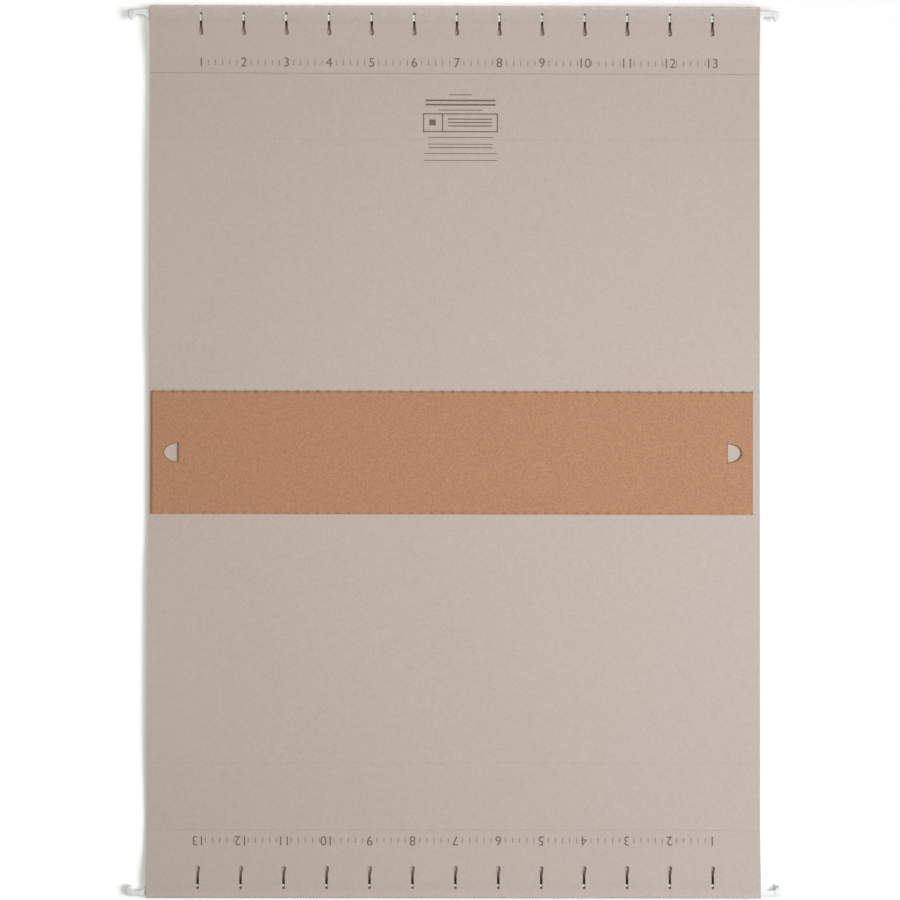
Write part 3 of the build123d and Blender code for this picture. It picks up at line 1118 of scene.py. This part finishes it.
# Rules across the block in millimetres: how many, y of the first one's foot, step, width, height
HEADING_RULES = [(1, 218.4, 0.0, 14, 0.5), (2, 214.6, 2.6, 43, 1.1), (1, 209.0, 0.0, 27, 0.5)]
NOTE_RULES = [(2, 192.2, 4.2, 40, 0.45), (1, 185.8, 0.0, 39, 0.55), (2, 182.2, 4.2, 45, 0.45)]
FRAME_TOP, FRAME_HEIGHT, FRAME_LINE, FRAME_CELL = 207.2 * MM, 11.6 * MM, 0.7 * MM, 11.6 * MM
CELL_MARK_FOOT, CELL_MARK = 4.2 * MM, (4.0 * MM, 3.6 * MM)
FRAME_RULES, FRAME_RULE_DEPTH, FRAME_RULE_STEP, FRAME_RULE_WIDTH = 3, 3.9 * MM, 2.1 * MM, 27 * MM


def add_scale(obj, side):
    """The fine marks between the numerals of one hem. At a numeral only a dot is left of its mark."""
    run_tree(
        obj, marks_tree, Count=(SLOT_COUNT - 1) * MARKS_BETWEEN + 1, Every=MARKS_BETWEEN, Finish=ink_finish,
        Start=(first_slot_x, side * (fold_y - SCALE_DEPTH), flap_top + INK / 2),
        Step=(slot_pitch / MARKS_BETWEEN, 0.0, 0.0), Bar=FINE_MARK, Long_bar=SLOT_MARK,
        Turn=reading_turn[side],
    )


def add_rules(obj, count, x, y, step, width, height):
    """Some equal bars one below another, the first with its foot at y."""
    bar = (width, height, INK)
    run_tree(
        obj, marks_tree, Count=count, Every=1, Finish=ink_finish, Start=(x, y, card + INK / 2),
        Step=(0.0, -step, 0.0), Bar=bar, Long_bar=bar, Turn=0.0,
    )


def add_block(obj):
    """Rules for a heading and for notes, and between them a ruled frame with a small cell on its left."""
    for count, y, step, width, height in HEADING_RULES + NOTE_RULES:
        add_rules(obj, count, BLOCK_X, y * MM, step * MM, width * MM, height * MM)
    left, right = BLOCK_X - BLOCK_WIDTH / 2, BLOCK_X + BLOCK_WIDTH / 2
    foot, inner = FRAME_TOP - FRAME_HEIGHT, FRAME_HEIGHT - FRAME_LINE
    add_rules(obj, 2, BLOCK_X, FRAME_TOP - FRAME_LINE, inner, BLOCK_WIDTH, FRAME_LINE)
    for x in (left, left + FRAME_CELL, right - FRAME_LINE):
        add_rules(obj, 1, x + FRAME_LINE / 2, foot, 0.0, FRAME_LINE, FRAME_HEIGHT)
    add_rules(obj, 1, left + FRAME_CELL / 2, foot + CELL_MARK_FOOT, 0.0, *CELL_MARK)
    x, y = BLOCK_X + FRAME_CELL / 2, FRAME_TOP - FRAME_RULE_DEPTH
    add_rules(obj, FRAME_RULES, x, y, FRAME_RULE_STEP, FRAME_RULE_WIDTH, FRAME_LINE)


for name, side in SIDES.items():
    ink = numerals(f"{name}_print", side)
    add_scale(ink, side)
    if side == BACK:
        add_block(ink)
    ink = dress(bake(ink), ink_finish)
    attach(ink, f"{name}_side")
    print(ink.name, len(ink.data.polygons), "faces")

# %% [markdown]
# ## Glue
# The glue beads keep their solids: only their ends show, deep in the open hems. They get the dried glue
# finish.

# %% Glue finish
for name in ("back_hem_glue", "front_hem_glue"):
    dress(frame["nodes"][name], glue_finish)
    print(name, "finished")

# %% [markdown]
# ## Floor, light and camera
# The folder lies on a plain white floor. Card never lies dead flat, so some air is left under it, a
# little more at the back: its soft shadow on the left is widest there. A large softbox stands well off to
# the right, a small one hangs overhead, and a small cool one fills in from near by on the right. A floor
# lit like this is light grey, so it gets some light of its own that only the camera and reflections see,
# more of it further from the lamps' bright spot. That keeps the shadow and makes the rest white. The sky
# looks white too, and lights the folder only a little.

# %% Floor
HALF_FLOOR = 4.0
FLOOR_DROP, FLOOR_SLOPE = 2.4 * MM, 0.004
FLOOR_COLOUR, WHITE = (0.92, 0.92, 0.915, 1.0), (1.0, 1.0, 1.0, 1.0)
BRIGHT_SPOT, GLOW_SPREAD, GLOW_POWER = (0.374, -0.05, 0.0), 1.0, 1.9


def seen_directly(tree):
    """One where a ray comes from the camera, a reflection or through glass."""
    rays = add_node(tree, "ShaderNodeLightPath").outputs
    seen = calc(tree, "MAXIMUM", rays["Is Camera Ray"], rays["Is Glossy Ray"])
    return calc(tree, "MAXIMUM", seen, rays["Is Transmission Ray"])


def floor_material():
    """White, with a light of its own that grows with the distance from the bright spot."""
    made, tree, shader = principled("white floor", 0.9, 0.1)
    away = vector_calc(tree, "DISTANCE", object_place(tree), BRIGHT_SPOT)
    raised = calc(tree, "POWER", away, GLOW_POWER)
    glow = calc(tree, "DIVIDE", raised, calc(tree, "ADD", raised, GLOW_SPREAD))
    own_light = product(tree, seen_directly(tree), glow)
    feed(tree, shader, Base_Color=FLOOR_COLOUR, Emission_Color=WHITE, Emission_Strength=own_light)
    return made


floor_mesh = bpy.data.meshes.new("floor")
ground = [(i * HALF_FLOOR, j * HALF_FLOOR) for i, j in CORNERS]
floor_mesh.from_pydata([(x, y, -FLOOR_DROP - FLOOR_SLOPE * y) for x, y in ground], [], [(0, 1, 2, 3)])
floor = dress(put_in_scene("floor", floor_mesh), floor_material())
print(f"floor {FLOOR_DROP / MM:.1f} mm below the middle of the folder")

# %% Lights
WORLD_LIGHT = 0.05


def softbox(name, place, size, power, tint):
    """A square area light that faces the middle of the folder."""
    lamp = bpy.data.lights.new(name, "AREA")
    lamp.shape, lamp.size, lamp.energy, lamp.color = "SQUARE", size, power, tint
    obj = put_in_scene(name, lamp)
    obj.location = place
    obj.rotation_euler = (-Vector(place)).to_track_quat("-Z", "Y").to_euler()
    obj.visible_camera = False


softbox("large softbox on the right", (2.84, -0.31, 3.06), 1.85, 119.5, (1.0, 0.924, 0.931))
softbox("overhead softbox", (-0.087, 0.074, 0.60), 0.5, 1.32, (0.99, 1.0, 0.876))
softbox("cool fill on the right", (0.546, -0.141, 0.542), 0.4, 2.51, (0.743, 0.84, 1.0))
world = bpy.data.worlds.new("studio")
world.use_nodes = True
bpy.context.scene.world = world
sky = world.node_tree
sky_light = ramp(sky, seen_directly(sky), 0.0, 1.0, WORLD_LIGHT)
feed(sky, sky.nodes["Background"], Color=WHITE, Strength=sky_light)

# %% Camera straight above, as in the photograph
LENS, SENSOR = 85.0, 36.0
CAMERA_PLACE = (-12.12 * MM, -23.42 * MM, 1302.2 * MM)
CAMERA_TILT = (1.043, -0.4181, 0.1112)
lens = bpy.data.cameras.new("camera")
lens.lens, lens.sensor_width = LENS, SENSOR
camera = put_in_scene("camera", lens)
camera.location = CAMERA_PLACE
camera.rotation_euler = [math.radians(angle) for angle in CAMERA_TILT]
bpy.context.scene.camera = camera
bpy.context.scene.view_settings.view_transform = "Standard"
print(f"camera {CAMERA_PLACE[2]:.3f} m up with a {LENS:.0f} mm lens")
